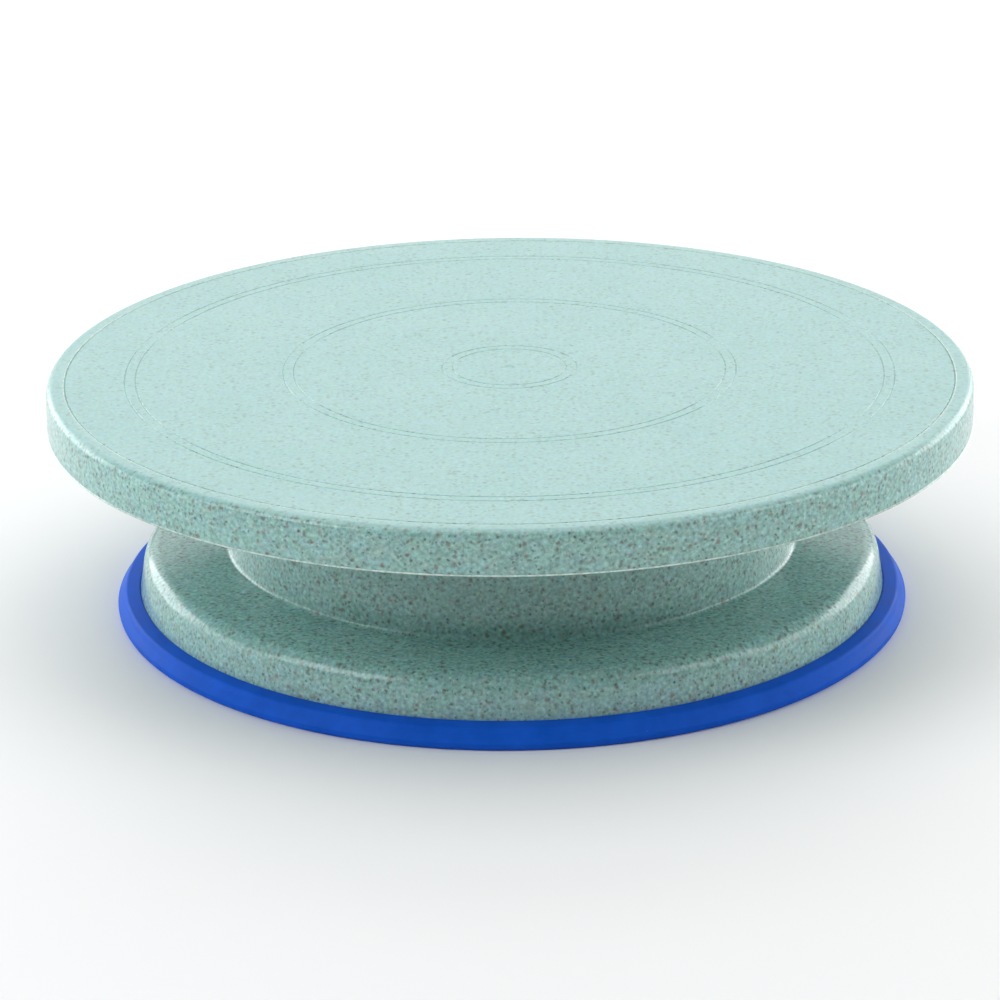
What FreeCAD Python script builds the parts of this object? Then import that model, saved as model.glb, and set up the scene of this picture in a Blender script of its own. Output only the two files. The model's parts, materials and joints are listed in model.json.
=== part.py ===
import FreeCAD, Part
import os
import re

import Sketcher

# A hand-turned pottery wheel. The origin is the middle of the circle it stands on, +Z is up and is
# the axis that the plate turns about. Every size is in millimetres.
#
# Bodies, from the table up: a hat-shaped base on a rubber ring; a cage of steel balls between two
# races; a plate with a turned-down rim, carried by the balls and centred by a flanged spindle.

SIZES = [
    ("wheel_height", 72.8, "table to the plate's face"),
    # top plate
    ("plate_radius", 140.0, "plate, at the lower edge of its rim"),
    ("plate_deck", 3.2, "thickness of the plate's face"),
    ("rim_drop", 12.9, "height of the plate's rim"),
    ("rim_lean", 0.6, "how far the rim leans in from its lower edge to its top"),
    ("rim_wall", 3.0, "thickness of the rim"),
    ("rim_corner", 2.6, "rounding between face and rim"),
    ("rim_lip", 0.4, "bevels of the rim's lower edge"),
    ("line_width", 0.5, "width of an engraved line"),
    ("line_depth", 0.3, "depth of an engraved line"),
    ("line_pitch", 3.2, "distance between the two lines of a pair"),
    ("rim_line", 133.8, "radius of the single line beside the rim"),
    ("outer_line", 115.9, "radius of the largest pair of lines"),
    ("middle_line", 68.4, "radius of the middle pair"),
    ("inner_line", 20.4, "radius of the smallest pair"),
    ("centre_pip", 1.6, "radius of the centre mark"),
    ("plate_ribs", 24, "number of radial ribs under the plate"),
    ("plate_rib_drop", 4.6, "depth of the plate's ribs"),
    ("plate_rib_wall", 1.8, "thickness of the plate's ribs"),
    ("inner_hoop", 82.0, "radius of the inner ring rib"),
    ("outer_hoop", 110.0, "radius of the outer ring rib"),
    ("plate_hub", 16.0, "radius of the boss that the spindle is screwed to"),
    ("plate_hub_drop", 5.0, "depth of that boss"),
    # base
    ("wall_foot_level", 2.6, "lower edge of the outer wall, inside the rubber ring"),
    ("wall_foot_radius", 114.52, "outer wall at its lower edge"),
    ("wall_top_radius", 111.95, "outer wall where it would meet the brim without its rounding"),
    ("brim_edge_level", 18.7, "brim at its outer edge"),
    ("brim_foot_level", 19.0, "brim where the drum rises from it"),
    ("brim_corner", 5.5, "rounding between wall and brim"),
    ("drum_foot_radius", 86.4, "drum where it leaves the brim"),
    ("drum_top_radius", 83.4, "drum at its top"),
    ("drum_foot_round", 1.5, "hollow rounding at the drum's foot"),
    ("drum_top_bevel", 1.5, "bevels of the drum's top edge and of the well's mouth"),
    ("deck_level", 63.0, "top of the drum"),
    ("base_wall", 3.1, "thickness of the base's walls"),
    ("well_radius", 55.2, "well that the bearing sits in, at its floor"),
    ("well_lean", 0.8, "how much wider the well is at its mouth"),
    ("well_level", 57.0, "floor of the well"),
    ("hub_radius", 11.0, "hub at its lower end"),
    ("hub_lean", 0.6, "how much wider the hub is at its upper end"),
    ("hub_foot_level", 43.0, "lower end of the hub"),
    ("collar_radius", 26.4, "ring wall around the hub, outside"),
    ("collar_wall", 2.4, "thickness of that ring wall"),
    ("collar_level", 36.0, "lower edge of that ring wall"),
    ("base_ribs", 12, "number of radial ribs inside the drum"),
    ("base_rib_level", 45.0, "lower edge of those ribs"),
    ("base_rib_wall", 2.2, "thickness of those ribs"),
    ("gusset_count", 24, "number of gussets under the brim"),
    ("gusset_level", 8.0, "lower edge of the gussets"),
    ("gusset_wall", 1.8, "thickness of the gussets"),
    # rubber ring
    ("ring_inner", 108.2, "inner radius of the rubber ring"),
    ("ring_foot", 121.06, "widest radius of the rubber ring"),
    ("ring_foot_level", 2.2, "height where it is widest"),
    ("ring_ridge", 118.5, "radius of the ridge along its top"),
    ("ring_ridge_level", 6.2, "height of that ridge"),
    ("ring_seam_level", 6.5, "where its top meets the base's wall"),
    ("ring_inner_level", 7.2, "top of its inner leg"),
    ("grip_width", 1.0, "width of the grip grooves in its sole"),
    ("grip_depth", 0.6, "depth of those grooves"),
    # bearing
    ("ball_radius", 3.0, "radius of a ball"),
    ("ball_count", 16, "number of balls"),
    ("ball_pitch", 42.0, "radius of the circle of ball centres"),
    ("ball_play", 0.03, "gap between a ball and each race"),
    ("track_radius", 3.2, "section radius of the track in a race"),
    ("race_half", 6.0, "half of a race's width"),
    ("race_thick", 2.8, "thickness of a race"),
    ("race_face", 1.8, "from the ball centres to a race's face"),
    ("race_seat", 1.0, "how deep a race sits in its seat"),
    ("race_chamfer", 0.4, "chamfer of a race's edges"),
    ("seat_wall", 2.5, "thickness of the seat's wall under the plate"),
    ("cage_half", 5.2, "half of the cage's width"),
    ("cage_thick", 2.0, "thickness of the cage"),
    ("pocket_radius", 3.15, "hole for a ball in the cage"),
    # spindle and its fastenings
    ("spindle_radius", 5.0, "radius of the spindle"),
    ("spindle_foot_level", 41.9, "lower end of the spindle"),
    ("spigot_rise", 3.8, "how far the spindle reaches into the plate"),
    ("flange_radius", 14.0, "radius of the spindle's flange"),
    ("flange_thick", 2.4, "thickness of that flange"),
    ("flange_hole", 1.7, "holes in that flange"),
    ("small_screws", 4, "screws through the flange"),
    ("small_screw_circle", 10.5, "radius of the circle they stand on"),
    ("small_screw_radius", 1.5, "their thread"),
    ("small_screw_reach", 4.2, "how far they reach into the plate"),
    ("small_head_radius", 2.8, "their heads"),
    ("small_head_thick", 1.8, "thickness of their heads"),
    ("bush_play", 0.05, "running gap between spindle and bush"),
    ("bush_radius", 7.5, "outside of the bush"),
    ("bush_flange", 9.5, "radius of the bush's flange"),
    ("bush_flange_thick", 1.2, "thickness of that flange"),
    ("nylon_hole", 5.3, "hole in the nylon washer"),
    ("nylon_radius", 9.5, "nylon washer"),
    ("nylon_thick", 0.8, "its thickness"),
    ("washer_hole", 2.7, "hole in the steel washer"),
    ("washer_radius", 10.0, "steel washer"),
    ("washer_thick", 1.5, "its thickness"),
    ("screw_radius", 2.5, "thread of the retaining screw"),
    ("screw_reach", 10.5, "how far it reaches into the spindle"),
    ("screw_head_radius", 4.6, "its head"),
    ("screw_head_thick", 2.6, "thickness of its head"),
    ("cap_thick", 1.8, "thickness of the hub cap"),
    ("cap_leg", 5.0, "height of the hub cap's ring"),
    ("cap_leg_wall", 1.8, "thickness of that ring"),
]

# Heights and radii that follow from the sizes.
PLATE_UNDER = "(wheel_height - plate_deck)"
RIM_FOOT = "(wheel_height - rim_drop)"
PLATE_RIB_FOOT = f"({PLATE_UNDER} - plate_rib_drop)"
PLATE_HUB_FOOT = f"({PLATE_UNDER} - plate_hub_drop)"
LOWER_SEAT = "(well_level - race_seat)"
BALL_LEVEL = f"({LOWER_SEAT} + race_thick + race_face)"
UPPER_SEAT = f"({BALL_LEVEL} + race_face + race_thick)"
RACE_INNER = "(ball_pitch - race_half)"
RACE_OUTER = "(ball_pitch + race_half)"
DECK_UNDER = "(deck_level - base_wall)"
WELL_UNDER = "(well_level - base_wall)"
WALL_SLOPE = "((wall_foot_radius - wall_top_radius) / (brim_edge_level - wall_foot_level))"
DRUM_SLOPE = "((drum_foot_radius - drum_top_radius) / (deck_level - brim_foot_level))"
FLANGE_UNDER = f"({PLATE_HUB_FOOT} - flange_thick)"
WASHER_UNDER = "(spindle_foot_level - washer_thick)"

NOTHING = "0"
X_AXIS = -1
Y_AXIS = -2
START = 1
MIDDLE = 3

doc = FreeCAD.newDocument("PotteryWheel")
sheet = doc.addObject("Spreadsheet::Sheet", "Sizes")
for row, (alias, size, meaning) in enumerate(SIZES, start=1):
    sheet.set(f"A{row}", alias)
    sheet.set(f"B{row}", str(size))
    sheet.set(f"C{row}", meaning)
    sheet.setAlias(f"B{row}", alias)
doc.recompute()


# ---------------------------------------------------------------- tools


def in_sheet(text):
    """The same expression with each size read from the sheet."""
    return re.sub(r"\b[a-z]+(_[a-z]+)+\b", r"Sizes.\g<0>", text)


def value(text):
    """What an expression comes to now."""
    return float(sheet.evalExpression(in_sheet(text)))


def wall_at(level):
    """Radius of the outer wall at a height."""
    return f"(wall_foot_radius - ({level} - wall_foot_level) * {WALL_SLOPE})"


def drum_at(level):
    """Radius of the drum at a height."""
    return f"(drum_foot_radius - ({level} - brim_foot_level) * {DRUM_SLOPE})"


def new_body(label):
    """An empty body, named as its node will be."""
    body = doc.addObject("PartDesign::Body", label)
    body.Label = label
    return body


def origin_feature(body, role):
    """A plane or an axis of the body's own origin."""
    return next(item for item in body.Origin.OriginFeatures if item.Role == role)


def new_sketch(body, name, role="XZ_Plane", level=None):
    """A sketch on one of the body's planes, raised to a level where one is given."""
    sketch = body.newObject("Sketcher::SketchObject", name)
    sketch.AttachmentSupport = [(origin_feature(body, role), "")]
    sketch.MapMode = "FlatFace"
    if level:
        sketch.setExpression("AttachmentOffset.Base.z", in_sheet(level))
    return sketch


def pin(sketch, edge, point, across, up):
    """Hold a point of an edge at a place worked out from the sheet."""
    for kind, axis, text in (("DistanceX", Y_AXIS, across), ("DistanceY", X_AXIS, up)):
        size = value(text)
        if size == 0:
            sketch.addConstraint(Sketcher.Constraint("PointOnObject", edge, point, axis))
        else:
            held = sketch.addConstraint(Sketcher.Constraint(kind, -1, START, edge, point, size))
            sketch.setExpression(f"Constraints[{held}]", in_sheet(text))


def outline(sketch, corners):
    """A closed run of straight edges through corners, each a pair of expressions."""
    count = len(corners)
    first = sketch.GeometryCount
    spots = [FreeCAD.Vector(value(across), value(up), 0) for across, up in corners]
    for index, spot in enumerate(spots):
        sketch.addGeometry(Part.LineSegment(spot, spots[(index + 1) % count]), False)
    for index, (across, up) in enumerate(corners):
        before = first + (index - 1) % count
        sketch.addConstraint(Sketcher.Constraint("Coincident", before, 2, first + index, START))
        pin(sketch, first + index, START, across, up)


def box_outline(sketch, inner, outer, low, high):
    """An upright rectangle in the half plane beside the axis."""
    outline(sketch, [(inner, low), (outer, low), (outer, high), (inner, high)])


def circle(sketch, radius, across, up=NOTHING):
    """A circle with its centre held in place."""
    centre = FreeCAD.Vector(value(across), value(up), 0)
    edge = sketch.addGeometry(Part.Circle(centre, FreeCAD.Vector(0, 0, 1), value(radius)), False)
    held = sketch.addConstraint(Sketcher.Constraint("Radius", edge, value(radius)))
    sketch.setExpression(f"Constraints[{held}]", in_sheet(radius))
    pin(sketch, edge, MIDDLE, across, up)


def turned(body, name, sketch, kind="PartDesign::Revolution"):
    """The sketch turned once round the Z axis, as a solid or as a cut."""
    feature = body.newObject(kind, name)
    feature.Profile = sketch
    feature.ReferenceAxis = (sketch, ["V_Axis"])
    feature.Angle = 360
    doc.recompute()
    if kind == "PartDesign::Groove":
        must_remove(feature)
    return feature


def padded(body, name, sketch, length, both_ways=False):
    """The sketch made into a solid of a given thickness."""
    pad = body.newObject("PartDesign::Pad", name)
    pad.Profile = sketch
    pad.setExpression("Length", in_sheet(length))
    if both_ways:
        pad.SideType = "Symmetric"
    return pad


def pocketed(body, name, sketch, depth, upward=False):
    """The sketch cut out of the body, downward from its plane or upward."""
    pocket = body.newObject("PartDesign::Pocket", name)
    pocket.Profile = sketch
    pocket.setExpression("Length", in_sheet(depth))
    pocket.Reversed = upward
    doc.recompute()
    must_remove(pocket)
    return pocket


def must_remove(feature):
    """Stop where a cut takes nothing away."""
    if feature.Shape.Volume >= feature.BaseFeature.Shape.Volume:
        raise RuntimeError(f"{feature.Name} cuts nothing")


def around(body, name, feature, count):
    """The feature repeated evenly round the Z axis."""
    pattern = body.newObject("PartDesign::PolarPattern", name)
    pattern.Originals = [feature]
    pattern.Axis = (origin_feature(body, "Z_Axis"), [""])
    pattern.Angle = 360
    pattern.setExpression("Occurrences", in_sheet(count))
    body.Tip = pattern
    doc.recompute()
    return pattern


def ring_edges(shape, places):
    """Names of the full circles about the Z axis at the given radii and heights."""
    names = []
    for across, up in places:
        radius, level = value(across), value(up)
        for number, edge in enumerate(shape.Edges, start=1):
            curve = edge.Curve
            if isinstance(curve, Part.Circle) and abs(curve.Radius - radius) < 1e-4:
                if abs(curve.Center.z - level) < 1e-4 and abs(curve.Center.x) < 1e-4:
                    names.append(f"Edge{number}")
    if len(names) != len(places):
        raise RuntimeError(f"found {len(names)} of {len(places)} edges")
    return names


def on_edges(body, name, kind, setting, size, places):
    """A feature along the circles at the given places."""
    base = body.Tip
    feature = body.newObject(kind, name)
    feature.Base = (base, ring_edges(base.Shape, places))
    feature.setExpression(setting, in_sheet(size))
    body.Tip = feature
    doc.recompute()


def rounded(body, name, radius, places):
    """Round the circles at the given places."""
    on_edges(body, name, "PartDesign::Fillet", "Radius", radius, places)


def bevelled(body, name, size, places):
    """Bevel the circles at the given places."""
    on_edges(body, name, "PartDesign::Chamfer", "Size", size, places)


def simple_turning(label, corners):
    """A body that is one turned outline."""
    body = new_body(label)
    sketch = new_sketch(body, f"{label}_section")
    outline(sketch, corners)
    turned(body, f"{label}_turning", sketch)
    return body


# ---------------------------------------------------------------- top plate


def top_plate():
    """The skirted disc that the clay stands on."""
    rim_top = "(plate_radius - rim_lean)"
    body = simple_turning("top_plate", [
        (NOTHING, "wheel_height"),
        (NOTHING, PLATE_HUB_FOOT),
        ("plate_hub", PLATE_HUB_FOOT),
        ("plate_hub", PLATE_UNDER),
        (f"{RACE_INNER} - seat_wall", PLATE_UNDER),
        (f"{RACE_INNER} - seat_wall", f"{UPPER_SEAT} - race_seat"),
        (RACE_INNER, f"{UPPER_SEAT} - race_seat"),
        (RACE_INNER, UPPER_SEAT),
        (RACE_OUTER, UPPER_SEAT),
        (RACE_OUTER, f"{UPPER_SEAT} - race_seat"),
        (f"{RACE_OUTER} + seat_wall", f"{UPPER_SEAT} - race_seat"),
        (f"{RACE_OUTER} + seat_wall", PLATE_UNDER),
        (f"{rim_top} - rim_wall", PLATE_UNDER),
        ("plate_radius - rim_wall", RIM_FOOT),
        ("plate_radius", RIM_FOOT),
        (rim_top, "wheel_height"),
    ])
    rounded(body, "rim_corner_round", "rim_corner", [(rim_top, "wheel_height")])
    bevelled(body, "rim_lip_bevel", "rim_lip", [
        ("plate_radius", RIM_FOOT),
        ("plate_radius - rim_wall", RIM_FOOT),
    ])

    hoops = new_sketch(body, "hoop_section")
    for radius in ("inner_hoop", "outer_hoop"):
        box_outline(hoops, f"{radius} - plate_rib_wall / 2", f"{radius} + plate_rib_wall / 2",
                    PLATE_RIB_FOOT, f"{PLATE_UNDER} + plate_deck / 2")
    turned(body, "hoops", hoops)

    for name, inner, outer, count in (
        ("inner_rib", "plate_hub - 1", f"{RACE_INNER} - seat_wall + 1", "plate_ribs / 2"),
        ("outer_rib", f"{RACE_OUTER} + seat_wall - 1", f"{rim_top} - rim_wall / 2", "plate_ribs"),
    ):
        side = new_sketch(body, f"{name}_side")
        box_outline(side, inner, outer, PLATE_RIB_FOOT, f"{PLATE_UNDER} + plate_deck / 2")
        around(body, f"{name}_ring", padded(body, name, side, "plate_rib_wall", True), count)

    lines = new_sketch(body, "line_section")
    pairs = ["outer_line", "middle_line", "inner_line"]
    for radius in ["rim_line"] + pairs + [f"({pair} - line_pitch)" for pair in pairs]:
        outline(lines, [
            (f"{radius} - line_width / 2", "wheel_height"),
            (radius, "wheel_height - line_depth"),
            (f"{radius} + line_width / 2", "wheel_height"),
        ])
    outline(lines, [
        (NOTHING, "wheel_height"),
        (NOTHING, "wheel_height - line_depth"),
        ("centre_pip", "wheel_height"),
    ])
    turned(body, "lines", lines, "PartDesign::Groove")

    socket = new_sketch(body, "spigot_socket_outline", "XY_Plane", PLATE_HUB_FOOT)
    circle(socket, "spindle_radius", NOTHING)
    pocketed(body, "spigot_socket", socket, "spigot_rise + 0.2", upward=True)
    pilot = new_sketch(body, "pilot_outline", "XY_Plane", PLATE_HUB_FOOT)
    circle(pilot, "small_screw_radius", "small_screw_circle")
    pilots = pocketed(body, "pilot", pilot, "small_screw_reach + 0.4", upward=True)
    around(body, "pilot_ring", pilots, "small_screws")
    return body


# ---------------------------------------------------------------- base


def base_shell():
    """The hat: outer wall, brim and drum in one, with the bearing's well and hub inside."""
    wall_inner_foot = "(wall_foot_radius - base_wall)"
    brim_under = "(brim_edge_level - base_wall)"
    wall_inner_top = f"({wall_at(brim_under)} - base_wall)"
    drum_inner_foot = f"({drum_at(brim_under)} - base_wall)"
    drum_inner_top = f"({drum_at(DECK_UNDER)} - base_wall)"
    body = simple_turning("base_shell", [
        ("wall_foot_radius", "wall_foot_level"),
        ("wall_top_radius", "brim_edge_level"),
        ("drum_foot_radius", "brim_foot_level"),
        ("drum_top_radius", "deck_level"),
        ("well_radius + well_lean", "deck_level"),
        ("well_radius", "well_level"),
        (f"{RACE_OUTER}", "well_level"),
        (f"{RACE_OUTER}", LOWER_SEAT),
        (f"{RACE_INNER}", LOWER_SEAT),
        (f"{RACE_INNER}", "well_level"),
        ("bush_radius", "well_level"),
        ("bush_radius", "hub_foot_level"),
        ("hub_radius", "hub_foot_level"),
        ("hub_radius + hub_lean", WELL_UNDER),
        ("collar_radius - collar_wall", WELL_UNDER),
        ("collar_radius - collar_wall", "collar_level"),
        ("collar_radius", "collar_level"),
        ("collar_radius", WELL_UNDER),
        ("well_radius + base_wall", WELL_UNDER),
        ("well_radius + well_lean + base_wall", DECK_UNDER),
        (drum_inner_top, DECK_UNDER),
        (drum_inner_foot, brim_under),
        (wall_inner_top, brim_under),
        (wall_inner_foot, "wall_foot_level"),
    ])
    rounded(body, "brim_round", "brim_corner", [("wall_top_radius", "brim_edge_level")])
    bevelled(body, "brim_inner_bevel", "brim_corner / 2", [(wall_inner_top, brim_under)])
    rounded(body, "drum_foot_rounding", "drum_foot_round", [("drum_foot_radius", "brim_foot_level")])
    bevelled(body, "drum_top_edges", "drum_top_bevel", [
        ("drum_top_radius", "deck_level"),
        ("well_radius + well_lean", "deck_level"),
    ])

    rib = new_sketch(body, "base_rib_side")
    bite = "base_wall / 2"
    outline(rib, [
        ("hub_radius - 0.5", "base_rib_level"),
        (f"{drum_at('base_rib_level')} - {bite}", "base_rib_level"),
        (f"{drum_at(DECK_UNDER)} - {bite}", f"{DECK_UNDER} + 0.5"),
        (f"well_radius + {bite}", f"{DECK_UNDER} + 0.5"),
        (f"well_radius + {bite}", f"{WELL_UNDER} + 0.5"),
        ("hub_radius - 0.5", f"{WELL_UNDER} + 0.5"),
    ])
    around(body, "base_rib_ring", padded(body, "base_rib", rib, "base_rib_wall", True), "base_ribs")

    gusset = new_sketch(body, "gusset_side")
    outline(gusset, [
        (f"{drum_inner_foot} + {bite}", f"{brim_under} + 0.5"),
        (f"{drum_inner_foot} + {bite}", f"{brim_under} - 3"),
        (f"{drum_inner_foot} + brim_corner * 2", "gusset_level"),
        (f"{wall_at('gusset_level')} - {bite}", "gusset_level"),
        (f"{wall_inner_top} + 0.5", f"{brim_under} - brim_corner / 2"),
        (f"{wall_inner_top} - brim_corner / 2", f"{brim_under} + 0.5"),
    ])
    around(body, "gusset_ring", padded(body, "gusset", gusset, "gusset_wall", True), "gusset_count")
    return body


def non_slip_ring():
    """The rubber ring: a channel pushed onto the wall's lower edge, with a flared sole."""
    body = simple_turning("non_slip_ring", [
        (wall_at("ring_seam_level"), "ring_seam_level"),
        ("ring_ridge", "ring_ridge_level"),
        ("ring_ridge + 0.8", "ring_ridge_level - 1.6"),
        ("ring_foot", "ring_foot_level"),
        ("ring_foot - 0.3", NOTHING),
        ("ring_inner", NOTHING),
        ("ring_inner", "ring_inner_level - 0.6"),
        ("ring_inner + 0.6", "ring_inner_level"),
        (f"{wall_at('ring_inner_level')} - base_wall", "ring_inner_level"),
        ("wall_foot_radius - base_wall", "wall_foot_level"),
        ("wall_foot_radius", "wall_foot_level"),
    ])
    rounded(body, "ridge_round", "1.0", [("ring_ridge", "ring_ridge_level")])
    rounded(body, "flare_round", "0.8", [("ring_foot", "ring_foot_level")])
    rounded(body, "sole_round", "1.2", [("ring_foot - 0.3", NOTHING)])
    grips = new_sketch(body, "grip_section")
    for radius in ("(ring_inner + 3)", "(ring_foot - 4.5)"):
        box_outline(grips, f"{radius} - grip_width / 2", f"{radius} + grip_width / 2", NOTHING, "grip_depth")
    turned(body, "grips", grips, "PartDesign::Groove")
    return body


# ---------------------------------------------------------------- ball bearing


def race(label, seat, face, track_level):
    """A steel ring with a track for the balls."""
    body = new_body(label)
    section = new_sketch(body, f"{label}_section")
    box_outline(section, RACE_INNER, RACE_OUTER, *sorted((seat, face), key=value))
    turned(body, f"{label}_turning", section)
    bevelled(body, f"{label}_edges", "race_chamfer", [(RACE_INNER, face), (RACE_OUTER, face)])
    track = new_sketch(body, f"{label}_track_section")
    circle(track, "track_radius", "ball_pitch", track_level)
    turned(body, f"{label}_track", track, "PartDesign::Groove")
    return body


def lower_race():
    """The race seated in the base's well."""
    return race("lower_race", LOWER_SEAT, f"{BALL_LEVEL} - race_face",
                f"{BALL_LEVEL} + track_radius - ball_radius - ball_play")


def upper_race():
    """The race seated under the plate."""
    return race("upper_race", UPPER_SEAT, f"{BALL_LEVEL} + race_face",
                f"{BALL_LEVEL} - track_radius + ball_radius + ball_play")


def ball_cage():
    """The flat nylon ring that keeps the balls apart."""
    body = new_body("ball_cage")
    ring = new_sketch(body, "cage_outline", "XY_Plane", f"{BALL_LEVEL} - cage_thick / 2")
    circle(ring, "ball_pitch + cage_half", NOTHING)
    circle(ring, "ball_pitch - cage_half", NOTHING)
    padded(body, "cage_ring", ring, "cage_thick")
    hole = new_sketch(body, "ball_pocket_outline", "XY_Plane", f"{BALL_LEVEL} + cage_thick / 2")
    circle(hole, "pocket_radius", "ball_pitch")
    doc.recompute()
    around(body, "ball_pocket_ring", pocketed(body, "ball_pocket", hole, "cage_thick"), "ball_count")
    return body


def ball(number):
    """One ball, resting in its own pocket of the cage."""
    sphere = doc.addObject("Part::Sphere", f"ball_{number:02d}")
    sphere.setExpression("Radius", in_sheet("ball_radius"))
    turn = f"({number - 1} * 360 deg / ball_count)"
    places = {"x": f"ball_pitch * cos({turn})", "y": f"ball_pitch * sin({turn})", "z": BALL_LEVEL}
    for axis, place in places.items():
        sphere.setExpression(f"Placement.Base.{axis}", in_sheet(place))
    return sphere


# ---------------------------------------------------------------- spindle and fastenings


def spindle():
    """The flanged pin that is screwed to the plate and runs in the bush."""
    tapped_top = "(spindle_foot_level + screw_reach + 1)"
    body = simple_turning("spindle", [
        ("screw_radius", "spindle_foot_level"),
        ("spindle_radius - 0.5", "spindle_foot_level"),
        ("spindle_radius", "spindle_foot_level + 0.5"),
        ("spindle_radius", FLANGE_UNDER),
        ("flange_radius", FLANGE_UNDER),
        ("flange_radius", PLATE_HUB_FOOT),
        ("spindle_radius", PLATE_HUB_FOOT),
        ("spindle_radius", f"{PLATE_HUB_FOOT} + spigot_rise - 0.5"),
        ("spindle_radius - 0.5", f"{PLATE_HUB_FOOT} + spigot_rise"),
        (NOTHING, f"{PLATE_HUB_FOOT} + spigot_rise"),
        (NOTHING, f"{tapped_top} + screw_radius / 2"),
        ("screw_radius", tapped_top),
    ])
    holes = new_sketch(body, "flange_hole_outline", "XY_Plane", PLATE_HUB_FOOT)
    circle(holes, "flange_hole", "small_screw_circle")
    around(body, "flange_hole_ring", pocketed(body, "flange_hole_cut", holes, "flange_thick"), "small_screws")
    return body


def screw(label, seat, radius, reach, head_radius, head_thick):
    """A pan-head screw on the Z axis that points up from its seat, with a cross recess in its head."""
    body = simple_turning(label, [
        (NOTHING, f"{seat} - {head_thick}"),
        (f"{head_radius} * 0.7", f"{seat} - {head_thick}"),
        (head_radius, f"{seat} - {head_thick} * 0.5"),
        (head_radius, seat),
        (radius, seat),
        (radius, f"{seat} + {reach} - {radius} * 0.4"),
        (f"{radius} * 0.6", f"{seat} + {reach}"),
        (NOTHING, f"{seat} + {reach}"),
    ])
    recess = new_sketch(body, f"{label}_recess_outline", "XY_Plane", f"{seat} - {head_thick}")
    cross_outline(recess, f"({head_radius} * 0.55)", f"({head_radius} * 0.12)")
    pocketed(body, f"{label}_recess", recess, f"{head_thick} * 0.6", upward=True)
    return body


def cross_outline(sketch, arm, half):
    """A cross centred on the sketch's origin: how far its arms reach, and half their width."""
    quarter = [(arm, half), (half, half), (half, arm)]
    corners = list(quarter)
    corners += [(f"-{across}", up) for across, up in reversed(quarter)]
    corners += [(f"-{across}", f"-{up}") for across, up in quarter]
    corners += [(across, f"-{up}") for across, up in reversed(quarter)]
    outline(sketch, corners)


def spindle_screws():
    """The screws through the spindle's flange, all in one node."""
    screws = []
    for index in range(int(value("small_screws"))):
        one = screw(f"spindle_screw_{index + 1}", FLANGE_UNDER, "small_screw_radius",
                    "(flange_thick + small_screw_reach)", "small_head_radius", "small_head_thick")
        turn = f"({index} * 360 deg / small_screws)"
        one.setExpression("Placement.Base.x", in_sheet(f"small_screw_circle * cos({turn})"))
        one.setExpression("Placement.Base.y", in_sheet(f"small_screw_circle * sin({turn})"))
        screws.append(one)
    group = doc.addObject("Part::Compound", "spindle_screws")
    group.Links = screws
    return group


def retaining_screw():
    """The screw up into the spindle's end."""
    return screw("retaining_screw", WASHER_UNDER, "screw_radius", "(washer_thick + screw_reach)",
                 "screw_head_radius", "screw_head_thick")


def spindle_bush():
    """The flanged bush that the spindle turns in."""
    bore = "(spindle_radius + bush_play)"
    top = "(well_level + bush_flange_thick)"
    return simple_turning("spindle_bush", [
        (bore, "hub_foot_level"),
        ("bush_radius", "hub_foot_level"),
        ("bush_radius", "well_level"),
        ("bush_flange", "well_level"),
        ("bush_flange", f"{top} - 0.3"),
        ("bush_flange - 0.3", top),
        (f"{bore} + 0.4", top),
        (bore, f"{top} - 0.4"),
    ])


def washer(label, hole, radius, low, thick):
    """A flat ring."""
    high = f"({low} + {thick})"
    return simple_turning(label, [(hole, low), (radius, low), (radius, high), (hole, high)])


def hub_cap():
    """The cap that closes the hub from below, with a ring that presses into the collar."""
    inner = "(collar_radius - collar_wall)"
    under = "(collar_level - cap_thick)"
    return simple_turning("hub_cap", [
        (NOTHING, f"{under} + 0.6"),
        (f"{inner} - cap_leg_wall - 4", f"{under} + 0.6"),
        (f"{inner} - cap_leg_wall - 3", under),
        ("collar_radius - 0.6", under),
        ("collar_radius", f"{under} + 0.6"),
        ("collar_radius", "collar_level"),
        (inner, "collar_level"),
        (inner, "collar_level + cap_leg - 0.6"),
        (f"{inner} - 0.6", "collar_level + cap_leg"),
        (f"{inner} - cap_leg_wall", "collar_level + cap_leg"),
        (f"{inner} - cap_leg_wall", "collar_level"),
        (NOTHING, "collar_level"),
    ])


# ---------------------------------------------------------------- the whole wheel


def build():
    """Every node of the wheel."""
    nodes = [
        top_plate(),
        upper_race(),
        spindle(),
        spindle_screws(),
        washer("retaining_washer", "washer_hole", "washer_radius", WASHER_UNDER, "washer_thick"),
        retaining_screw(),
        ball_cage(),
        base_shell(),
        non_slip_ring(),
        lower_race(),
        spindle_bush(),
        washer("thrust_washer", "nylon_hole", "nylon_radius",
               "(hub_foot_level - nylon_thick)", "nylon_thick"),
        hub_cap(),
    ]
    nodes += [ball(number) for number in range(1, int(value("ball_count")) + 1)]
    return nodes


def check(nodes):
    """Stop where a feature failed or a node is not sound."""
    doc.recompute()
    for item in doc.Objects:
        if "Invalid" in item.State or "Error" in item.State:
            raise RuntimeError(f"{item.Label} did not build: {item.State}")
    for node in nodes:
        if node.Shape.isNull() or not node.Shape.isValid():
            raise RuntimeError(f"{node.Label} has no sound shape")


def write(nodes):
    """One file for each node."""
    os.makedirs("parts", exist_ok=True)
    for node in nodes:
        node.Shape.exportStep(f"parts/{node.Label}.step")
        box = node.Shape.BoundBox
        print(f"{node.Label:18s} {len(node.Shape.Solids):2d} solid  {node.Shape.Volume / 1000:9.3f} cm3  "
              f"r {box.XMax:7.2f}  z {box.ZMin:6.2f} to {box.ZMax:6.2f}")


wheel = build()
check(wheel)
write(wheel)
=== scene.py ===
import json
import math

import bmesh
import bpy
from mathutils import Matrix, Vector


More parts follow.
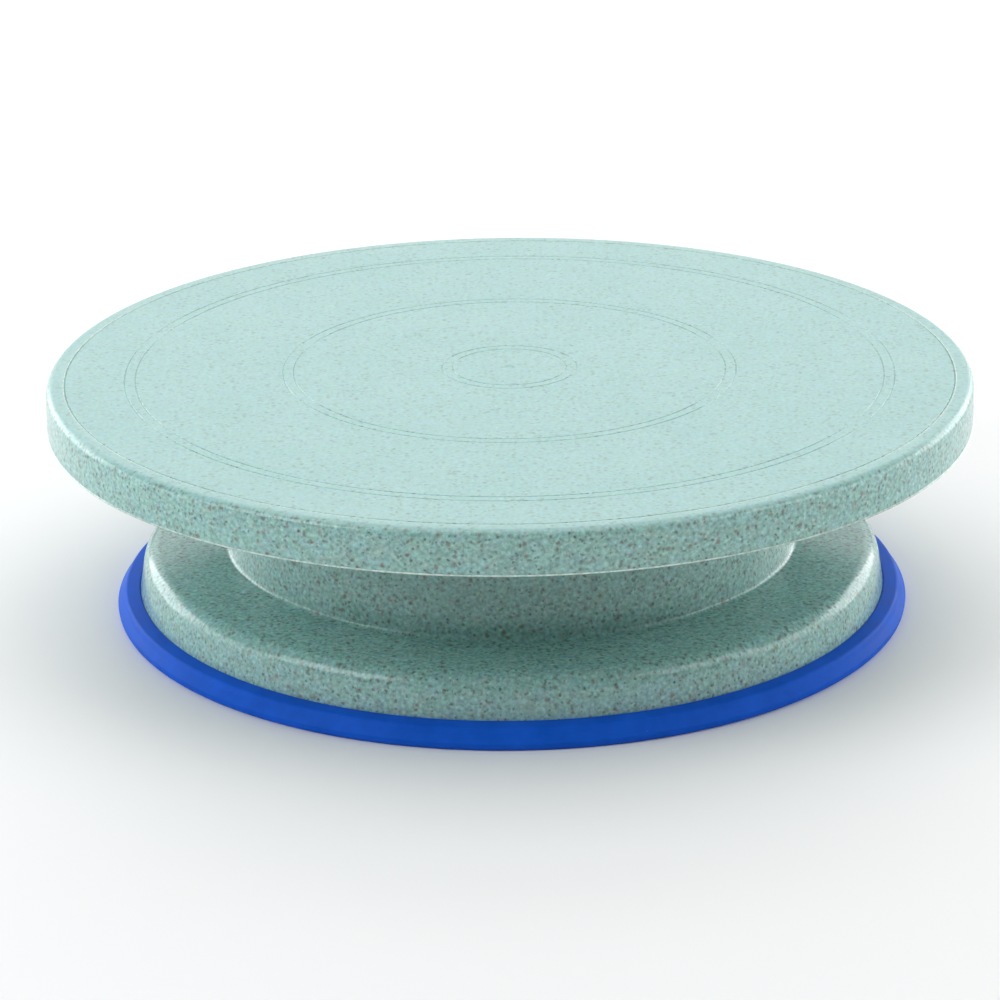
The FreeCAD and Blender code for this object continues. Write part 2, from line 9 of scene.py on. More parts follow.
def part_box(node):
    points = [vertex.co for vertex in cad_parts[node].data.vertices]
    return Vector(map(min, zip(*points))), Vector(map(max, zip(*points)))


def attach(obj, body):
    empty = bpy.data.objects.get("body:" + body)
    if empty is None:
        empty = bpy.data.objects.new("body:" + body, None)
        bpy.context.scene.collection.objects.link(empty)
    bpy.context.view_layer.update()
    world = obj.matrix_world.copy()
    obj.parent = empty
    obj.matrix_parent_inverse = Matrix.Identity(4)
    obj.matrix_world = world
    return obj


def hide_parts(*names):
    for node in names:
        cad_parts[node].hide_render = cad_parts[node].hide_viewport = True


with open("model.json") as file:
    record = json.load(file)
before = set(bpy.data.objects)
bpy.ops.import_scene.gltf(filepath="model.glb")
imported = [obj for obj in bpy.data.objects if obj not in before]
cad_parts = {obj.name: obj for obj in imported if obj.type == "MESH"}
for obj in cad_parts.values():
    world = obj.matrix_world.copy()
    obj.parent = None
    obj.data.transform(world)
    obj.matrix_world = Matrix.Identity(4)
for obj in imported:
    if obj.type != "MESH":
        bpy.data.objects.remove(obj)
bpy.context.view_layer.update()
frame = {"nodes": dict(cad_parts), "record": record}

# A pottery wheel: speckled mint plastic plate and base, blue rubber ring, steel bearing inside.
# Sections are given in millimetres as (radius, height) or (radius, height, rounding of that corner),
# and turned round the Z axis.

MM = 0.001
MERGE = 2e-6  # points nearer to each other than this, in metres, are one

# ---------------------------------------------------------------- sizes, in millimetres

PLATE_BOX = [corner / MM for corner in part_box("top_plate")]
BASE_BOX = [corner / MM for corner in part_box("base_shell")]
RING_BOX = [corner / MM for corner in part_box("non_slip_ring")]
CAP_BOX = [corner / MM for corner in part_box("hub_cap")]

PLATE_TOP = PLATE_BOX[1].z
PLATE_FOOT = PLATE_BOX[0].z
PLATE_RADIUS = 140.0
RIM_LEAN = 0.6
RIM_WALL = 3.0
RIM_CORNER = 2.6
BEAD = 0.34  # the lip along the rim's lower edge; its pale colour is a painted highlight
BEAD_RISE = 0.12
BEAD_FOOT = 0.1
HIGHLIGHT_STRIP_WIDTH = 0.35  # the strip beside the rim line, coloured pale as a painted highlight
PLATE_UNDER = PLATE_TOP - 3.2
PLATE_RIB_FOOT = PLATE_UNDER - 4.6
PLATE_RIB_HALF = 0.9
PIP_FLOOR, PIP_EDGE = 0.9, 1.7
LINE_HALF = 0.25
LINE_DEPTH = 0.3
LINE_EASE = 0.1
LINE_FLOOR_HALF = 0.06
RIM_LINE = 133.8
FINE_HALF = 0.20
FINE_DEPTH = 0.18
FINE_LINES = (17.2, 20.4, 65.2, 68.4, 112.7, 115.9)
HOOPS = (82.0, 110.0)
HUB_BOSS = 16.0
HUB_BOSS_FOOT = PLATE_UNDER - 5.0
SPINDLE_RADIUS = 5.0
SPINDLE_HOLE_TOP = HUB_BOSS_FOOT + 4.0
RACE_INNER, RACE_OUTER = 36.0, 48.0
SEAT_WALL = 2.5
UPPER_SEAT = 65.2
RACE_SEAT = 1.0

BASE_WALL = 3.1
WALL_FOOT = (114.52, BASE_BOX[0].z)
WALL_TOP = (111.95, 18.7)
SHOULDER = 5.5
DRUM_FOOT = (86.4, 19.0)
DRUM_TOP = (83.4, BASE_BOX[1].z)
DECK_UNDER = DRUM_TOP[1] - BASE_WALL
WELL_RADIUS = 55.2
WELL_LEAN = 0.8
WELL_LEVEL = 57.0
WELL_UNDER = WELL_LEVEL - BASE_WALL
BUSH_RADIUS = 7.5
HUB_FOOT = (11.0, 43.0)
HUB_ROOT = (11.6, WELL_UNDER)
COLLAR_INNER, COLLAR_OUTER, COLLAR_FOOT = 24.0, 26.4, 36.0
CAP_LEG_WALL = 1.8
CAP_DISH = 0.6
BASE_RIB_LEVEL = 45.0
BASE_RIB_HALF = 1.0
BRIM_UNDER = WALL_TOP[1] - BASE_WALL
GUSSET_LEVEL = 8.0
GUSSET_DROP = 3.0
GUSSET_SLANT = 9.5

RING_INNER = 108.2
RING_FOOT = (121.06, 2.2)
RING_WAIST = (119.4, 4.5)
RING_RIDGE = (118.5, 6.2)
RING_SEAM = 6.5
SOLE_EDGE = 120.76
GROOVES = (116.56, 111.2)
GROOVE_HALF = 0.5
GROOVE_DEPTH = 0.6

SECTORS = 24  # one for each rib or gusset
OPEN_COLUMNS = 8  # columns of faces between two ribs


# ---------------------------------------------------------------- mesh tools


def between(start, end, level):
    """Radius at a height on the straight line from start to end."""
    share = (level - start[1]) / (end[1] - start[1])
    return start[0] + share * (end[0] - start[0])


def drum_at(level):
    return between(DRUM_FOOT, DRUM_TOP, level)


def wall_at(level):
    return between(WALL_FOOT, WALL_TOP, level)


def softened(corners, closed=False, steps=5):
    """The points of an outline whose corners (radius, height, rounding) become arcs."""
    count = len(corners)
    points = []
    for index, corner in enumerate(corners):
        here = Vector(corner[:2])
        rounding = corner[2] if len(corner) > 2 else 0
        if not rounding or not closed and index in (0, count - 1):
            points.append(tuple(here))
            continue
        back = (Vector(corners[index - 1][:2]) - here).normalized()
        ahead = (Vector(corners[(index + 1) % count][:2]) - here).normalized()
        half = back.angle(ahead) / 2
        centre = here + (back + ahead).normalized() * rounding / math.sin(half)
        first = here + back * rounding / math.tan(half) - centre
        last = here + ahead * rounding / math.tan(half) - centre
        sweep = first.angle_signed(last)
        for step in range(steps + 1):
            points.append(tuple(centre + Matrix.Rotation(-sweep * step / steps, 2) @ first))
    return points


def plain(points):
    """Stations of a lathe section where no web stands."""
    return [(point, point, point) for point in points]


def spun(name, stations, web_half=1.0, closed=False):
    """A turned solid with webs: one per sector, alternately even and odd.

    A station is (floor, even web, odd web), each a (radius, height). Where a web's place differs from
    the floor's, the web stands out there with upright sides, web_half to each side of its middle.
    """
    mesh = bmesh.new()
    rows = []
    for floor, even, odd in stations:
        row = []
        for sector in range(SECTORS):
            web = even if sector % 2 == 0 else odd
            middle = math.tau * sector / SECTORS
            reach = math.tau / SECTORS
            half = min(math.asin(min(1.0, web_half / max(web[0], 1e-6))), reach * 0.3)
            row += [place(mesh, floor, middle - half), place(mesh, web, middle - half)]
            row += [place(mesh, web, middle + half), place(mesh, floor, middle + half)]
            for step in range(1, OPEN_COLUMNS + 1):
                turn = middle + half + (reach - 2 * half) * step / (OPEN_COLUMNS + 1)
                row.append(place(mesh, floor, turn))
        rows.append(row)
    pairs = list(zip(rows, rows[1:] + rows[:1])) if closed else list(zip(rows, rows[1:]))
    for row, following in pairs:
        for index in range(len(row)):
            after = (index + 1) % len(row)
            mesh.faces.new((row[index], row[after], following[after], following[index]))
    bmesh.ops.remove_doubles(mesh, verts=mesh.verts, dist=MERGE)
    bmesh.ops.dissolve_degenerate(mesh, edges=mesh.edges, dist=MERGE)
    bmesh.ops.recalc_face_normals(mesh, faces=mesh.faces)
    return finished(name, mesh)


def place(mesh, spot, turn):
    """A vertex at a (radius, height) and an angle."""
    radius, height = spot
    return mesh.verts.new((radius * MM * math.cos(turn), radius * MM * math.sin(turn), height * MM))


def finished(name, mesh):
    """A smooth-shaded object made from the mesh."""
    data = bpy.data.meshes.new(name)
    mesh.to_mesh(data)
    mesh.free()
    for face in data.polygons:
        face.use_smooth = True
    piece = bpy.data.objects.new(name, data)
    bpy.context.scene.collection.objects.link(piece)
    return piece


def eased(piece, width):
    """Small roundings on the edges sharper than 38 degrees, and even shading beside them."""
    bevel = piece.modifiers.new("eased_edges", "BEVEL")
    bevel.width = width * MM
    bevel.segments = 2
    bevel.limit_method = "ANGLE"
    bevel.angle_limit = math.radians(38)
    bevel.use_clamp_overlap = True
    shading = piece.modifiers.new("even_shading", "WEIGHTED_NORMAL")
    shading.keep_sharp = True
    return piece


# ---------------------------------------------------------------- material tools


class Nodes:
    """A material's node tree, with a short way to add and join nodes."""

    def __init__(self, name):
        self.material = bpy.data.materials.new(name)
        self.material.use_nodes = True
        self.tree = self.material.node_tree
        self.shader = next(node for node in self.tree.nodes if node.type == "BSDF_PRINCIPLED")
        self.place = self.add("ShaderNodeTexCoord").outputs["Object"]

    def add(self, kind, inputs=None, **settings):
        node = self.tree.nodes.new(kind)
        for key, setting in settings.items():
            setattr(node, key, setting)
        for key, source in (inputs or {}).items():
            self.give(node.inputs[key], source)
        return node

    def give(self, socket, source):
        if isinstance(source, bpy.types.NodeSocket):
            self.tree.links.new(source, socket)
        else:
            socket.default_value = source

    def shade(self, **sockets):
        """Set or link the shader's own sockets; an underscore stands for a space."""
        for key, source in sockets.items():
            self.give(self.shader.inputs[key.replace("_", " ")], source)

    def maths(self, operation, first, second=0.0):
        return self.add("ShaderNodeMath", {0: first, 1: second}, operation=operation).outputs[0]

    def times(self, first, second):
        return self.maths("MULTIPLY", first, second)

    def vectors(self, operation, inputs):
        return self.add("ShaderNodeVectorMath", inputs, operation=operation).outputs[0]

    def ramp(self, source, low, high, start=0.0, end=1.0):
        """The source's stretch from low to high, turned into start to end."""
        node = self.add("ShaderNodeMapRange", {"Value": source, "From Min": low, "From Max": high,
                                               "To Min": start, "To Max": end})
        return node.outputs["Result"]

    def mix(self, share, first, second):
        """The first colour where share is 0, the second where it is 1."""
        node = self.add("ShaderNodeMix", data_type="RGBA")
        self.give(node.inputs["Factor"], share)
        self.give(node.inputs[6], first)
        self.give(node.inputs[7], second)
        return node.outputs[2]

    def noise(self, size_mm, detail=2.0, roughness=0.5, where=None, output="Fac"):
        node = self.add("ShaderNodeTexNoise", {"Vector": where or self.place,
                                               "Scale": 1 / (size_mm * MM),
                                               "Detail": detail, "Roughness": roughness})
        return node.outputs[output]

    def radius(self):
        """Distance from the wheel's axis, in metres."""
        parts = self.add("ShaderNodeSeparateXYZ", {0: self.place})
        squares = [self.maths("POWER", parts.outputs[axis], 2.0) for axis in (0, 1)]
        return self.maths("SQRT", self.maths("ADD", *squares))

    def moved(self, shift):
        return self.add("ShaderNodeMapping", {"Vector": self.place, "Location": shift}).outputs["Vector"]

    def ragged(self, size_mm, reach_mm):
        """The place, pushed about so that a round spot gets an uneven edge."""
        wobble = self.noise(size_mm, 1.0, output="Color")
        push = self.vectors("SUBTRACT", {0: wobble, 1: (0.5, 0.5, 0.5)})
        push = self.vectors("SCALE", {0: push, "Scale": reach_mm * MM * 2})
        return self.vectors("ADD", {0: self.place, 1: push})

    def specks(self, cell_mm, share, small, large, where=None, soft=0.75):
        """1 inside scattered specks, 0 elsewhere.

        share is the part of the cells that hold one, small and large its radius in cells, and soft the
        part of that radius where it is full.
        """
        cells = self.add("ShaderNodeTexVoronoi", {"Vector": where or self.place,
                                                  "Scale": 1 / (cell_mm * MM)})
        random = self.add("ShaderNodeSeparateColor", {0: cells.outputs["Color"]})
        radius = self.ramp(random.outputs[1], 0.0, 1.0, small, large)
        inner = self.times(radius, soft)
        spot = self.add("ShaderNodeMapRange", {"Value": cells.outputs["Distance"], "From Min": radius,
                                               "From Max": inner}, interpolation_type="SMOOTHSTEP")
        chosen = self.maths("LESS_THAN", random.outputs[0], share)
        return self.times(spot.outputs["Result"], chosen)

    def bump(self, height, depth_mm, strength=1.0):
        node = self.add("ShaderNodeBump", {"Height": height, "Distance": depth_mm * MM,
                                           "Strength": strength})
        return node.outputs["Normal"]


# ---------------------------------------------------------------- materials


def mint_plastic(name, frosted_sheen=False):
    """Straw-filled plastic: mint, mottled light and dark all through, with soft dark specks.

    Where the rough face points up it is rougher; there its colour is also whitened and its mottling and
    specks muted, a painted sheen.
    """
    n = Nodes(name)
    facing = 0.0
    if frosted_sheen:
        normal = n.add("ShaderNodeSeparateXYZ", {0: n.add("ShaderNodeNewGeometry").outputs["Normal"]})
        facing = n.ramp(normal.outputs[2], 0.60, 0.95)
    # Painted sheen: where the face points up, the mottling and specks below fade to about half strength.
    show = n.ramp(facing, 0.0, 1.0, 1.0, 0.48)

    def field(size_mm, detail, shift, low=0.35, high=0.65):
        return n.ramp(n.noise(size_mm, detail, where=n.moved(shift)), low, high)

    colour = n.mix(field(4.0, 2.0, (0.3, 0.1, 0.2)), (0.262, 0.472, 0.414, 1), (0.262, 0.468, 0.456, 1))
    blush = n.times(field(3.0, 2.0, (0.7, 0.4, 0.9), 0.50, 0.72), 0.5)
    colour = n.mix(n.times(blush, show), colour, (0.330, 0.420, 0.385, 1))

    where = n.ragged(1.1, 0.50)
    crowd = field(7.0, 1.0, (0.1, 0.8, 0.5))
    dark = n.specks(1.6, 0.85, 0.24, 0.46, where, 0.15)
    dark = n.times(dark, n.ramp(crowd, 0.0, 1.0, 0.28, 0.60))
    light = n.times(n.specks(2.1, 0.60, 0.20, 0.42, n.ragged(1.1, 0.4), 0.3), 0.24)
    mottle = n.ramp(field(1.15, 2.0, (0.6, 0.6, 0.1), 0.20, 0.80), 0.0, 1.0, -0.36, 0.54)
    amount = n.maths("SUBTRACT", n.maths("ADD", mottle, light), dark)
    factor = n.maths("ADD", n.times(amount, show), 1.0)
    colour = n.vectors("SCALE", {0: colour, "Scale": factor})
    # Painted sheen: faces that point up are whitened towards pale mint.
    colour = n.mix(n.times(facing, 0.30), colour, (0.48, 0.735, 0.745, 1))
    for cell, share, small, large, strength, tint in (
        (2.0, 0.80, 0.22, 0.42, 0.66, (0.110, 0.092, 0.066, 1)),
        (2.6, 0.75, 0.22, 0.44, 0.64, (0.180, 0.115, 0.072, 1)),
    ):
        spot = n.times(n.specks(cell, share, small, large, where, 0.2), strength)
        colour = n.mix(n.times(spot, show), colour, tint)

    smear = field(16.0, 3.0, (0, 0, 0), 0.3, 0.7)
    grain = n.noise(0.42, 3.0, 0.6)
    n.shade(Base_Color=colour)
    n.shade(Roughness=n.maths("ADD", n.ramp(smear, 0.0, 1.0, 0.15, 0.22), n.times(facing, 0.18)))
    n.shade(Normal=n.bump(grain, 0.04, n.ramp(facing, 0.0, 1.0, 0.06, 0.8)))
    n.shade(IOR=1.5)
    return n.material


def mint_painted_highlight():
    """Pale, patchy and shinier mint for the rim's lower lip and the strip beside the rim line: a painted
    highlight.
    """
    n = Nodes("mint_plastic_painted_highlight")
    highlight_patches = n.noise(1.5, 2.0)
    n.shade(Base_Color=n.mix(n.ramp(highlight_patches, 0.42, 0.62), (0.66, 0.78, 0.73, 1), (0.42, 0.56, 0.50, 1)))
    n.shade(Roughness=n.ramp(highlight_patches, 0.3, 0.7, 0.15, 0.30))
    return n.material


def blue_silicone():
    """Smooth satin rubber, a little chalky where it has been handled."""
    n = Nodes("blue_silicone")
    haze = n.noise(9.0, 3.0, 0.6)
    colour = n.mix(n.ramp(haze, 0.35, 0.7), (0.006, 0.100, 0.60, 1), (0.011, 0.122, 0.71, 1))
    dust = n.specks(2.2, 0.10, 0.05, 0.12)
    colour = n.mix(n.times(dust, 0.2), colour, (0.18, 0.38, 0.85, 1))
    n.shade(Base_Color=colour)
    n.shade(Roughness=n.ramp(haze, 0.3, 0.7, 0.42, 0.52))
    n.shade(Normal=n.bump(n.noise(0.8, 2.0), 0.03, 0.4))
    n.shade(Specular_IOR_Level=0.06)
    return n.material


def metal(name, tint, rough, grain_mm, turned=True):
    """Machined or plated metal with faint tool marks and darker patches of oil."""
    n = Nodes(name)
    film = n.noise(4.0, 3.0)
    dim = tuple(channel * 0.72 for channel in tint)
    n.shade(Base_Color=n.mix(n.ramp(film, 0.35, 0.75), (*tint, 1), (*dim, 1)))
    where = n.place
    if turned:
        height = n.add("ShaderNodeSeparateXYZ", {0: n.place}).outputs[2]
        where = n.add("ShaderNodeCombineXYZ", {0: n.radius(), 1: height}).outputs[0]
    marks = n.noise(grain_mm, 2.0, where=where)
    n.shade(Roughness=n.ramp(marks, 0.3, 0.7, rough * 0.8, rough * 1.25))
    n.shade(Normal=n.bump(marks, 0.01, 0.5))
    n.shade(Metallic=1.0)
    return n.material


def nylon():
    """Natural nylon: waxy off-white, faintly clouded."""
    n = Nodes("nylon")
    clouds = n.noise(3.0, 3.0)
    n.shade(Base_Color=n.mix(n.ramp(clouds, 0.35, 0.7), (0.74, 0.72, 0.62, 1), (0.66, 0.64, 0.53, 1)))
    n.shade(Roughness=n.ramp(clouds, 0.3, 0.7, 0.35, 0.48))
    n.shade(Normal=n.bump(n.noise(0.5, 2.0), 0.02, 0.4))
    return n.material


MINT = mint_plastic("mint_plastic")
MINT_FROSTED_SHEEN = mint_plastic("mint_plastic_frosted_sheen", frosted_sheen=True)
MINT_PAINTED_HIGHLIGHT = mint_painted_highlight()
BLUE = blue_silicone()
NODE_MATERIALS = {
    "race_steel": metal("race_steel", (0.52, 0.51, 0.49), 0.22, 0.15),
    "ball_steel": metal("ball_steel", (0.62, 0.62, 0.63), 0.08, 1.5, turned=False),
    "spindle_steel": metal("spindle_steel", (0.50, 0.50, 0.50), 0.28, 0.20),
    "zinc_steel": metal("zinc_steel", (0.58, 0.61, 0.66), 0.30, 0.6, turned=False),
    "nylon": nylon(),
    "bronze": metal("bronze", (0.50, 0.31, 0.13), 0.40, 0.35, turned=False),
}


# ---------------------------------------------------------------- top plate


def line(radius, half, depth):
    """An engraved line in the plate's face, from its inner to its outer edge."""
    return [
        (radius - half, PLATE_TOP, LINE_EASE),
        (radius - LINE_FLOOR_HALF, PLATE_TOP - depth, LINE_EASE / 2),
        (radius + LINE_FLOOR_HALF, PLATE_TOP - depth, LINE_EASE / 2),
        (radius + half, PLATE_TOP, LINE_EASE),
    ]


def plate_skin():
    """The plate: engraved face, rounded rim, and a ribbed underside with its race seat and boss."""
    rim_top = PLATE_RADIUS - RIM_LEAN
    pip = PLATE_TOP - LINE_DEPTH
    face = [(0, pip), (PIP_FLOOR, pip, 0.6), (PIP_EDGE, PLATE_TOP, 0.5)]
    for radius in FINE_LINES:
        face += line(radius, FINE_HALF, FINE_DEPTH)
    face += line(RIM_LINE, LINE_HALF, LINE_DEPTH)
    rim = [
        (RIM_LINE + LINE_HALF + HIGHLIGHT_STRIP_WIDTH, PLATE_TOP),
        (rim_top, PLATE_TOP, RIM_CORNER),
        (PLATE_RADIUS - BEAD, PLATE_FOOT + BEAD + BEAD_RISE, 0.05),
        (PLATE_RADIUS, PLATE_FOOT + BEAD_RISE, 0.05),
        (PLATE_RADIUS - BEAD_FOOT, PLATE_FOOT, 0.04),
        (PLATE_RADIUS - RIM_WALL, PLATE_FOOT, 0.5),
    ]
    rim_inside = (PLATE_RADIUS - RIM_WALL, PLATE_FOOT)
    rim_root = (rim_top - RIM_WALL, PLATE_UNDER)
    outside = softened(face + rim + [rim_root])[:-1]

    floor, foot = PLATE_UNDER, PLATE_RIB_FOOT
    under = plain([(between(rim_inside, rim_root, foot), foot)])
    under.append(((rim_root[0], floor), (rim_root[0], foot), (rim_root[0], foot)))
    for radius in reversed(HOOPS):
        outer, inner = radius + PLATE_RIB_HALF, radius - PLATE_RIB_HALF
        for edge, first, last in ((outer, floor, foot), (inner, foot, floor)):
            for level in (first, last):
                under.append(((edge, level), (edge, foot), (edge, foot)))
    seat_outer, seat_inner = RACE_OUTER + SEAT_WALL, RACE_INNER - SEAT_WALL
    lip = UPPER_SEAT - RACE_SEAT
    under.append(((seat_outer, floor), (seat_outer, foot), (seat_outer, foot)))
    under += plain([(seat_outer, foot), (seat_outer, lip), (RACE_OUTER, lip), (RACE_OUTER, UPPER_SEAT),
                    (RACE_INNER, UPPER_SEAT), (RACE_INNER, lip), (seat_inner, lip), (seat_inner, foot)])
    under.append(((seat_inner, floor), (seat_inner, foot), (seat_inner, floor)))
    under.append(((HUB_BOSS, floor), (HUB_BOSS, foot), (HUB_BOSS, floor)))
    under += plain([(HUB_BOSS, foot), (HUB_BOSS, HUB_BOSS_FOOT), (SPINDLE_RADIUS, HUB_BOSS_FOOT),
                    (SPINDLE_RADIUS, SPINDLE_HOLE_TOP), (0, SPINDLE_HOLE_TOP)])
    piece = spun("plate_skin", plain(outside) + under, web_half=PLATE_RIB_HALF)
    piece.data.materials.append(MINT_FROSTED_SHEEN)
    piece.data.materials.append(MINT_PAINTED_HIGHLIGHT)
    # The lip's upward faces and the strip beside the rim line take the pale material, a painted
    # highlight.
    for polygon in piece.data.polygons:
        radius = math.hypot(*polygon.center[:2]) / MM
        level = polygon.center.z / MM
        past_line = radius - RIM_LINE
        beside_line = level > PLATE_TOP - 0.01 and LINE_HALF / 2 < past_line < LINE_HALF + HIGHLIGHT_STRIP_WIDTH
        on_bead = radius > PLATE_RADIUS - BEAD and level < PLATE_FOOT + BEAD + BEAD_RISE
        if beside_line or on_bead and polygon.normal.z > 0.1:
            polygon.material_index = 1
    return eased(piece, 0.3)


# ---------------------------------------------------------------- base


def base_skin():
    """The base: outer wall, brim, drum and bearing well, with ribs and gussets below."""
    outside = softened([
        (*WALL_FOOT, 0.3),
        (*WALL_TOP, SHOULDER),
        (*DRUM_FOOT, 1.5),
        (*DRUM_TOP, 3.0),
        (WELL_RADIUS + WELL_LEAN, DRUM_TOP[1], 1.5),
        (WELL_RADIUS, WELL_LEVEL, 1.5),
        (RACE_OUTER, WELL_LEVEL),
        (RACE_OUTER, WELL_LEVEL - RACE_SEAT),
        (RACE_INNER, WELL_LEVEL - RACE_SEAT),
        (RACE_INNER, WELL_LEVEL),
        (BUSH_RADIUS, WELL_LEVEL),
        (BUSH_RADIUS, HUB_FOOT[1]),
        HUB_FOOT,
    ])
    rib = BASE_RIB_LEVEL
    well_outer = (WELL_RADIUS + BASE_WALL, WELL_UNDER)
    deck_inner = (well_outer[0] + WELL_LEAN, DECK_UNDER)
    drum_root = (drum_at(DECK_UNDER) - BASE_WALL, DECK_UNDER)
    drum_end = drum_at(BRIM_UNDER) - BASE_WALL

    def ribbed(spot):
        return (spot, (spot[0], rib), spot)

    under = plain([(between(HUB_FOOT, HUB_ROOT, rib), rib)])
    under += [ribbed(HUB_ROOT), ribbed((COLLAR_INNER, WELL_UNDER))]
    under += plain([(COLLAR_INNER, rib), (COLLAR_INNER, COLLAR_FOOT),
                    (COLLAR_OUTER, COLLAR_FOOT), (COLLAR_OUTER, rib)])
    under += [ribbed((COLLAR_OUTER, WELL_UNDER)), ribbed(well_outer)]
    under += [ribbed(deck_inner), ribbed(drum_root)]
    under += plain([(drum_at(rib) - BASE_WALL, rib), (drum_end, BRIM_UNDER)])

    gusset_end = wall_at(GUSSET_LEVEL) - BASE_WALL
    start = drum_end + BASE_WALL / 2
    gusset_start = (start, BRIM_UNDER - GUSSET_DROP)
    under += plain([(start, BRIM_UNDER)])
    under.append(((start, BRIM_UNDER), gusset_start, gusset_start))
    knee = (start + GUSSET_SLANT, GUSSET_LEVEL)
    under.append(((knee[0], BRIM_UNDER), knee, knee))
    corner = softened([
        (knee[0], BRIM_UNDER),
        (wall_at(BRIM_UNDER) - BASE_WALL, BRIM_UNDER, 2.75),
        (gusset_end, GUSSET_LEVEL),
    ])[1:-1]
    under += [(spot, (spot[0], GUSSET_LEVEL), (spot[0], GUSSET_LEVEL)) for spot in corner]
    under += plain([(gusset_end, GUSSET_LEVEL), (WALL_FOOT[0] - BASE_WALL, WALL_FOOT[1])])
    piece = spun("base_skin", plain(outside) + under, web_half=BASE_RIB_HALF, closed=True)
    piece.data.materials.append(MINT)
    return eased(piece, 0.3)


def hub_cap_skin():
    """The snap-in cap under the hub, with a shallow dish."""
    low, high = CAP_BOX[0].z, CAP_BOX[1].z
    leg_inner = COLLAR_INNER - CAP_LEG_WALL
    points = softened([
        (0, low + CAP_DISH),
        (leg_inner - 4, low + CAP_DISH, 0.8),
        (leg_inner - 3, low, 0.5),
        (COLLAR_OUTER, low, 0.7),
        (COLLAR_OUTER, COLLAR_FOOT, 0.15),
        (COLLAR_INNER, COLLAR_FOOT),
        (COLLAR_INNER, high, 0.5),
        (leg_inner, high, 0.5),
        (leg_inner, COLLAR_FOOT, 0.4),
        (0, COLLAR_FOOT),
    ])
    piece = spun("hub_cap_skin", plain(points))
    piece.data.materials.append(MINT)
    return eased(piece, 0.15)


def ring_skin():
    """The rubber ring: a soft ridge, a flared foot and two grip grooves in the sole."""
    inner = RING_BOX[1].x - RING_FOOT[0] + RING_INNER
    top = RING_BOX[1].z
    seam = wall_at(RING_SEAM)
    sole = [(SOLE_EDGE, 0, 1.2)]
    for radius in GROOVES:
        half = GROOVE_HALF
        sole += [(radius + half, 0, 0.15), (radius + half - 0.1, GROOVE_DEPTH, 0.2)]
        sole += [(radius - half + 0.1, GROOVE_DEPTH, 0.2), (radius - half, 0, 0.15)]
    points = softened([
        (seam, RING_SEAM - 0.25, 0.1),
        (seam + 0.5, RING_SEAM, 0.35),
        (*RING_RIDGE, 1.3),
        (*RING_WAIST, 1.0),
        (*RING_FOOT, 0.9),
        *sole,
        (inner, 0, 0.6),
        (inner, top, 0.8),
        (wall_at(top) - BASE_WALL, top, 0.2),
        (WALL_FOOT[0] - BASE_WALL, WALL_FOOT[1], 0.1),
        (*WALL_FOOT, 0.1),
    ], closed=True, steps=6)
    piece = spun("ring_skin", plain(points), closed=True)
    piece.data.materials.append(BLUE)
    return piece


# ---------------------------------------------------------------- the whole wheel


def dress():
    """Make each visible piece, attach it to its body and hide the node it replaces, and give every other
    node its material.
    """
    for make, node, body, slot in (
        (plate_skin, "top_plate", "turntable", "mint_plastic"),
        (base_skin, "base_shell", "base", "mint_plastic"),
        (hub_cap_skin, "hub_cap", "base", "mint_plastic"),
        (ring_skin, "non_slip_ring", "base", "blue_silicone"),
    ):
        piece = make()
        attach(piece, body)
        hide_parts(node)
    for part in frame["record"]["subparts"]:
        if part["material_slot"] in NODE_MATERIALS:
            node = frame["nodes"][part["node"]]
            node.data.materials.clear()
            node.data.materials.append(NODE_MATERIALS[part["material_slot"]])


# ---------------------------------------------------------------- studio

WHITE = (1, 1, 1)
COOL = (0.96, 0.98, 1)
MIDDLE = (0, 0, 0.04)
# Each light's name, place, aim, size, power and tint: metres and watts.
LIGHTS = (
    ("overhead", (0, 0, 1.4), MIDDLE, (1.6, 1.6), 12.1, WHITE),
    ("back_high", (0, 1.5, 1.5), MIDDLE, (1.8, 0.6), 5.6, WHITE),
    ("backdrop", (0, 2.5, 0.88), MIDDLE, (3.6, 1.2), 19.5, WHITE),
    ("far_floor", (0, 1.5, 1.5), (0, 1.4, 0), (2.6, 0.8), 4.5, WHITE),
    ("left", (-0.95, -0.58, 0.75), MIDDLE, (0.8, 0.6), 5.9, COOL),
    ("right", (0.98, -0.5, 0.75), MIDDLE, (0.8, 0.6), 3.3, WHITE),
    ("left_low", (-1.3, 0, 0.30), MIDDLE, (0.9, 0.5), 3.0, COOL),
    ("right_low", (1.3, 0, 0.30), MIDDLE, (0.9, 0.5), 3.4, WHITE),
    ("left_back", (-1.0, 0.8, 0.35), MIDDLE, (0.9, 0.6), 6.9, COOL),
    ("right_back", (1.0, 0.8, 0.35), MIDDLE, (0.9, 0.6), 6.9, WHITE),
    ("front", (0, -1.3, 1.3), MIDDLE, (1.2, 0.8), 0.6, WHITE),
)
# Lights narrower than a half circle, in degrees.
SPREADS = {"far_floor": 70}


def area_light(name, place, aim, size, power, tint):
    """A soft rectangular light that faces a point."""
    data = bpy.data.lights.new(name, "AREA")
    data.shape = "RECTANGLE"
    data.size, data.size_y = size
    data.energy = power
    data.color = tint
    data.spread = math.radians(SPREADS.get(name, 180))
    lamp = bpy.data.objects.new(name, data)
    lamp.location = place
    lamp.rotation_euler = (Vector(aim) - Vector(place)).to_track_quat("-Z", "Y").to_euler()
    bpy.context.scene.collection.objects.link(lamp)


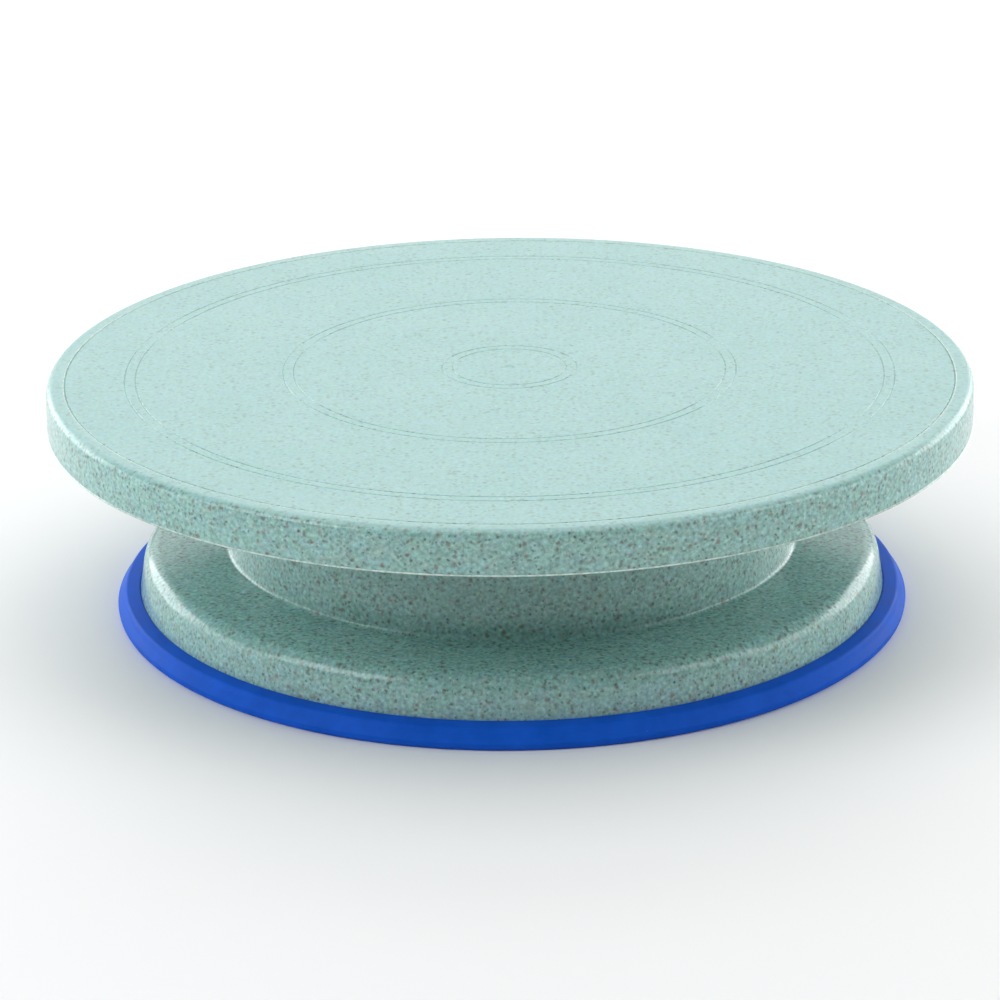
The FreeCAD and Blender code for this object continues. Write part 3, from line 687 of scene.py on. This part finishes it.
def floor():
    """A plain pale floor under the wheel, which glows faintly far out, where the lights don't reach."""
    mesh = bmesh.new()
    half = 6.0
    mesh.faces.new([mesh.verts.new(corner) for corner in (
        (-half, -half, 0), (half, -half, 0), (half, half, 0), (-half, half, 0))])
    piece = finished("floor", mesh)
    n = Nodes("floor")
    n.shade(Base_Color=(0.90, 0.90, 0.90, 1), Roughness=0.6, Emission_Color=(1, 1, 1, 1))
    n.shade(Emission_Strength=n.ramp(n.radius(), 0.8, 1.7, 0.0, 0.85))
    piece.data.materials.append(n.material)


def camera():
    """The view: a long lens, 18 degrees above the table, aimed a little below the plate."""
    distance = 1.1231  # metres, from the middle of the plate's face
    elevation = math.radians(18.417)
    yaw, pitch, roll = -0.002913, -0.035907, -0.011408  # radians, away from aiming at that middle
    focal = 3.71253  # widths of the picture
    sight = Vector((0, -math.cos(elevation), math.sin(elevation)))
    back = Vector((0, 0, PLATE_TOP * MM)) + sight * distance
    right = Vector((1, 0, 0))
    up = right.cross(-sight)
    forward = (-sight + right * yaw + up * pitch).normalized()
    side = forward.cross(Vector((0, 0, 1))).normalized()
    rise = side.cross(forward)
    x_axis = side * math.cos(roll) + rise * math.sin(roll)
    y_axis = rise * math.cos(roll) - side * math.sin(roll)
    data = bpy.data.cameras.new("camera")
    data.sensor_width = 36
    data.lens = 36 * focal
    data.clip_start, data.clip_end = 0.05, 50
    rig = bpy.data.objects.new("camera", data)
    turn = Matrix((x_axis, y_axis, -forward)).transposed()
    rig.matrix_world = Matrix.Translation(back) @ turn.to_4x4()
    bpy.context.scene.collection.objects.link(rig)
    bpy.context.scene.camera = rig


def studio():
    """The soft lights and a faint even glow all round."""
    world = bpy.data.worlds.new("studio")
    bpy.context.scene.world = world
    world.use_nodes = True
    backdrop = world.node_tree.nodes["Background"]
    backdrop.inputs["Color"].default_value = (1, 1, 1, 1)
    backdrop.inputs["Strength"].default_value = 0.02
    for light in LIGHTS:
        area_light(*light)
    bpy.context.scene.view_settings.view_transform = "Standard"


dress()
floor()
camera()
studio()
